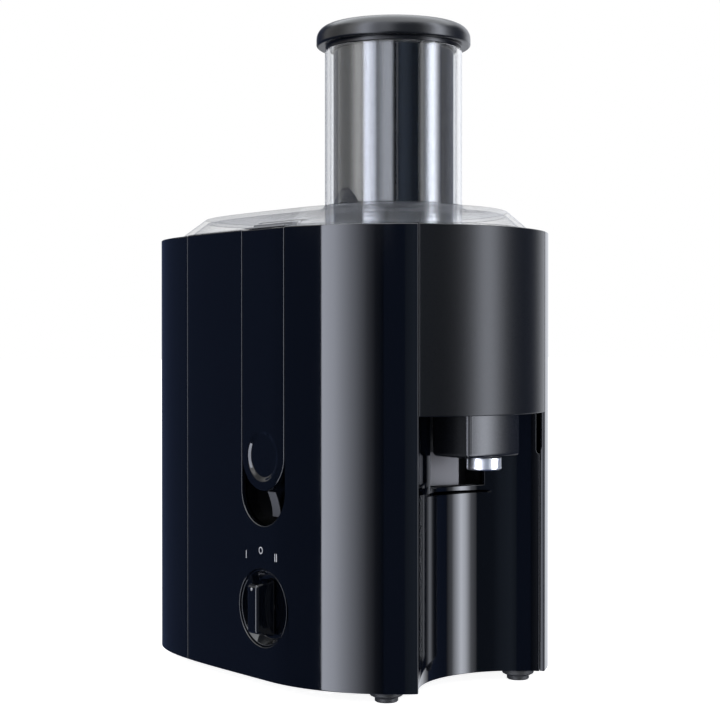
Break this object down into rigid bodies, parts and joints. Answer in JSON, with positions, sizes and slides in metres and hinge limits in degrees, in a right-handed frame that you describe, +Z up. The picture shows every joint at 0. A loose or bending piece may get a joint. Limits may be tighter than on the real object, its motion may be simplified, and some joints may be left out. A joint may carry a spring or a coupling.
{
  "type": "centrifugal juicer",
  "caption": "Upright centrifugal juicer: wide clear feed tube with pusher, clear lid held by side clamps, pulp container, rotary switch and a jug bay under the juice spout.",
  "frame": {"origin": "bottom centre of the bounding box, on the surface the feet stand on", "axes": "+Z up, +X towards the jug bay and spout, -Y the side with the rotary switch"},
  "size_m": [0.268, 0.212, 0.4156],
  "materials": {
    "black_gloss": "piano black, polished",
    "black_satin": "black, satin moulded",
    "dark_grey": "dark grey moulded",
    "rubber": "black, matt",
    "steel": "stainless",
    "bright_metal": "polished bright ring",
    "iron": "motor iron and lamination steel",
    "clear": null
  },
  "bodies": {
    "base": {"front_shell": "black_gloss", "rear_shell": "black_gloss", "spout_end_panel": "black_satin", "jug_bay_wall": "black_gloss", "spout_pocket": "black_satin", "base_plate": "black_satin", "motor_deck": "black_satin", "body_side_wall": "black_satin", "foot_front_right": "rubber", "foot_rear_right": "rubber", "foot_front_left": "rubber", "foot_rear_left": "rubber", "base_screw_front": "steel", "base_screw_rear": "steel", "base_screw_front_left": "steel", "base_screw_rear_left": "steel", "cord_gland": "rubber", "motor_can": "iron", "motor_stator": "iron", "lower_bearing": "steel", "upper_bearing": "steel", "motor_mount": "rubber", "deck_seal": "rubber", "juice_bowl": "dark_grey", "spout_nozzle": "bright_metal", "front_clamp_cup": "black_satin", "rear_clamp_cup": "black_satin", "front_clamp_pin": "steel", "rear_clamp_pin": "steel", "knob_dish": "black_gloss", "switch_body": "dark_grey"},
    "spinner": {"motor_rotor": "iron", "drive_shaft": "steel", "motor_fan": "dark_grey", "drive_coupling": "black_satin", "sieve_hub": "black_satin", "grater_disc": "steel", "sieve_basket": "steel", "sieve_rim": "black_satin"},
    "pulp_bin": {"pulp_container": "black_gloss"},
    "lid": {"lid": "clear", "lid_seal": "rubber"},
    "pusher": {"pusher_body": "black_gloss", "pusher_cap": "black_gloss"},
    "front_clamp": {"front_clamp_arm": "black_gloss", "front_clamp_claw": "dark_grey"},
    "rear_clamp": {"rear_clamp_arm": "black_gloss", "rear_clamp_claw": "dark_grey"},
    "selector": {"knob": "black_gloss", "knob_spindle": "dark_grey"}
  },
  "joints": [
    {"name": "spin", "type": "hinge", "parent": "base", "child": "spinner", "pos_m": [0.035, 0.001, 0.127], "axis": [0, 0, 1], "continuous": true},
    {"name": "pulp_bin_slide", "type": "slide", "parent": "base", "child": "pulp_bin", "axis": [-1, 0, 0], "range_m": [0, 0.2]},
    {"name": "lid_lift", "type": "slide", "parent": "base", "child": "lid", "axis": [0, 0, 1], "range_m": [0, 0.15]},
    {"name": "pusher_slide", "type": "slide", "parent": "lid", "child": "pusher", "axis": [0, 0, 1], "range_m": [0, 0.16]},
    {"name": "front_clamp_rock", "type": "hinge", "parent": "base", "child": "front_clamp", "pos_m": [0.028, -0.0914, 0.167], "axis": [1, 0, 0], "range_deg": [0, 9]},
    {"name": "rear_clamp_rock", "type": "hinge", "parent": "base", "child": "rear_clamp", "pos_m": [0.028, 0.0934, 0.167], "axis": [-1, 0, 0], "range_deg": [0, 9]},
    {"name": "knob_turn", "type": "hinge", "parent": "base", "child": "selector", "pos_m": [0.028, -0.098, 0.051], "axis": [0, -1, 0], "range_deg": [-28, 28]}
  ]
}
